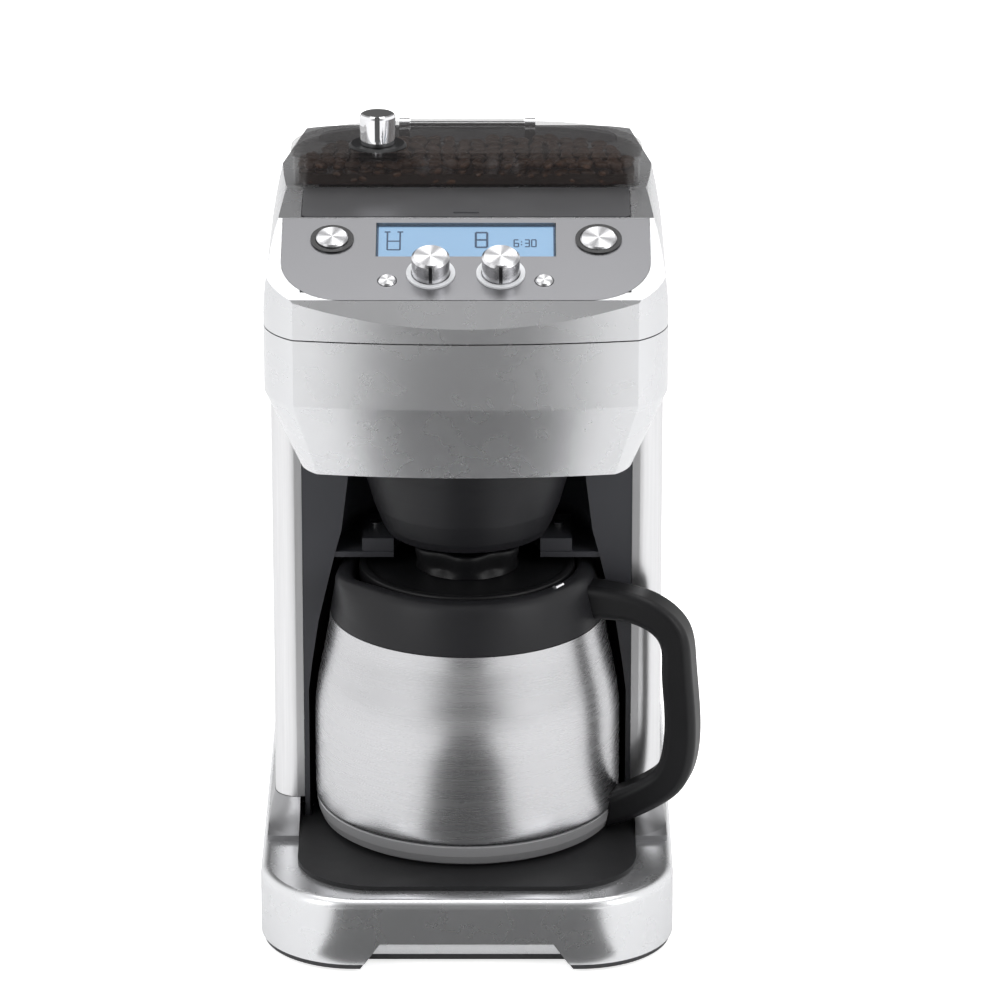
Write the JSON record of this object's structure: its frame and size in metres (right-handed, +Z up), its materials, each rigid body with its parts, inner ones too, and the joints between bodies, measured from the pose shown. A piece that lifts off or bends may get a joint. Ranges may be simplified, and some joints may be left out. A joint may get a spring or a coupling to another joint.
{
  "type": "drip coffee maker",
  "caption": "Drip coffee maker with a built-in bean grinder, a pull-out filter drawer and an insulated steel carafe on a broad base.",
  "frame": {"origin": "on the counter, under the middle of the base, where the feet stand", "axes": "+Z up, the front faces -Y, +X is to the right of someone facing the front"},
  "size_m": [0.2309, 0.327, 0.422],
  "materials": {
    "silver_paint": "satin silver paint over moulded plastic",
    "brushed_panel": "vertically brushed sheet",
    "brushed_jacket": "fine horizontal brushing",
    "inner_steel": "spun steel",
    "bare_steel": "bright steel",
    "chrome": "polished plating",
    "dial_metal": "turned face",
    "panel_grey": "satin grey",
    "foot_grey": "satin dark grey",
    "liner_grey": "fine grain",
    "bowl_grey": "fine grain",
    "mat_black": "matt",
    "black_satin": "satin black",
    "collar_grey": "satin charcoal",
    "ring_black": "gloss black",
    "ring_white": "pale satin",
    "lcd_glass": "clear over a pale blue display",
    "smoke": "smoked clear plastic",
    "clear_tank": "clear plastic",
    "beans": "roasted beans",
    "rubber_black": "matt",
    "floor_black": "moulded",
    "filter_steel": "fine mesh",
    "burr_steel": "hardened",
    "motor": "lacquered",
    "heater": "cast",
    "pump": "moulded",
    "hose": "translucent silicone",
    "board": "circuit board"
  },
  "bodies": {
    "housing": {"base_housing": "silver_paint", "bottom_tray": "floor_black", "tray_screws": "bare_steel", "rubber_feet": "rubber_black", "carafe_mat": "mat_black", "tower_skirt": "foot_grey", "left_side_panel": "brushed_panel", "right_side_panel": "brushed_panel", "rear_cover": "foot_grey", "level_window": "clear_tank", "bay_liner": "liner_grey", "funnel_support_bar": "liner_grey", "support_bar_screws": "bare_steel", "head_housing": "silver_paint", "hopper_lid_hinge_pin": "bare_steel", "head_floor": "floor_black", "shower_head": "floor_black", "grinder_chamber": "floor_black", "upper_burr": "burr_steel", "grinder_motor": "motor", "grounds_chute": "floor_black", "bean_hopper": "smoke", "coffee_beans": "beans", "control_panel": "panel_grey", "display_window": "lcd_glass", "button_rings": "ring_black", "dial_rings": "ring_white", "control_board": "board", "water_tank": "clear_tank", "water_pump": "pump", "water_heater": "heater", "heater_hose": "hose", "pump_hose": "hose", "cord_gland": "rubber_black"},
    "drawer": {"drawer_front": "silver_paint", "brew_funnel": "bowl_grey", "filter_basket": "filter_steel", "drip_stop_spring": "hose"},
    "drip_valve": {"drip_stop": "black_satin"},
    "burr_drive": {"motor_shaft": "bare_steel", "lower_burr": "burr_steel"},
    "chute_flap": {"chute_cover": "panel_grey"},
    "bean_lid": {"hopper_lid": "smoke", "knob_dish": "black_satin"},
    "lid_knob": {"grind_knob": "chrome", "lid_latch": "black_satin"},
    "water_lid": {"tank_lid": "panel_grey"},
    "dial_left": {"left_dial": "dial_metal"},
    "dial_right": {"right_dial": "dial_metal"},
    "button_menu": {"menu_button": "chrome"},
    "button_start": {"start_button": "dial_metal"},
    "button_small_left": {"left_small_button": "chrome"},
    "button_small_right": {"right_small_button": "chrome"},
    "carafe": {"carafe_foot": "brushed_jacket", "carafe_jacket": "brushed_jacket", "inner_flask": "inner_steel", "carafe_collar": "collar_grey", "collar_pin": "chrome", "carafe_handle": "black_satin"},
    "pour_lid": {"carafe_lid": "black_satin"}
  },
  "joints": [
    {"name": "drawer_slide", "type": "slide", "parent": "housing", "child": "drawer", "axis": [0, -1, 0], "range_m": [0, 0.11]},
    {"name": "drip_stop_lift", "type": "slide", "parent": "drawer", "child": "drip_valve", "axis": [0, 0, 1], "range_m": [0, 0.003], "stiffness_N_per_m": 150, "springref_m": -0.002, "deforming": ["drip_stop_spring"]},
    {"name": "carafe_slide", "type": "slide", "parent": "housing", "child": "carafe", "axis": [0, -1, 0], "range_m": [0, 0.2]},
    {"name": "pour_lid_turn", "type": "hinge", "parent": "carafe", "child": "pour_lid", "pos_m": [0, -0.044, 0.18], "axis": [0, 0, 1], "range_deg": [0, 60]},
    {"name": "chute_cover_hinge", "type": "hinge", "parent": "housing", "child": "chute_flap", "pos_m": [0, -0.03338, 0.38538], "axis": [-1, 0, 0], "range_deg": [0, 70]},
    {"name": "bean_lid_hinge", "type": "hinge", "parent": "housing", "child": "bean_lid", "pos_m": [0, 0.0535, 0.39568], "axis": [-1, 0, 0], "range_deg": [0, 85]},
    {"name": "lid_knob_turn", "type": "hinge", "parent": "bean_lid", "child": "lid_knob", "pos_m": [-0.046, -0.016, 0.40381], "axis": [0, 0, 1], "range_deg": [-90, 90]},
    {"name": "tank_lid_hinge", "type": "hinge", "parent": "housing", "child": "water_lid", "pos_m": [0, 0.10197, 0.37078], "axis": [1, 0, 0], "range_deg": [0, 80]},
    {"name": "left_dial_turn", "type": "hinge", "parent": "housing", "child": "dial_left", "pos_m": [-0.0177, -0.11239, 0.36563], "axis": [0, -0.3584, 0.9336], "continuous": true},
    {"name": "right_dial_turn", "type": "hinge", "parent": "housing", "child": "dial_right", "pos_m": [0.0177, -0.11239, 0.36563], "axis": [0, -0.3584, 0.9336], "continuous": true},
    {"name": "burr_spin", "type": "hinge", "parent": "housing", "child": "burr_drive", "pos_m": [0, 0.044, 0.35], "axis": [0, 0, 1], "continuous": true},
    {"name": "menu_button_press", "type": "slide", "parent": "housing", "child": "button_menu", "axis": [0, 0.3584, -0.9336], "range_m": [0, 0.0015], "stiffness_N_per_m": 500, "springref_m": -0.001},
    {"name": "start_button_press", "type": "slide", "parent": "housing", "child": "button_start", "axis": [0, 0.3584, -0.9336], "range_m": [0, 0.0015], "stiffness_N_per_m": 500, "springref_m": -0.001},
    {"name": "left_small_button_press", "type": "slide", "parent": "housing", "child": "button_small_left", "axis": [0, 0.3584, -0.9336], "range_m": [0, 0.0015], "stiffness_N_per_m": 500, "springref_m": -0.001},
    {"name": "right_small_button_press", "type": "slide", "parent": "housing", "child": "button_small_right", "axis": [0, 0.3584, -0.9336], "range_m": [0, 0.0015], "stiffness_N_per_m": 500, "springref_m": -0.001}
  ]
}
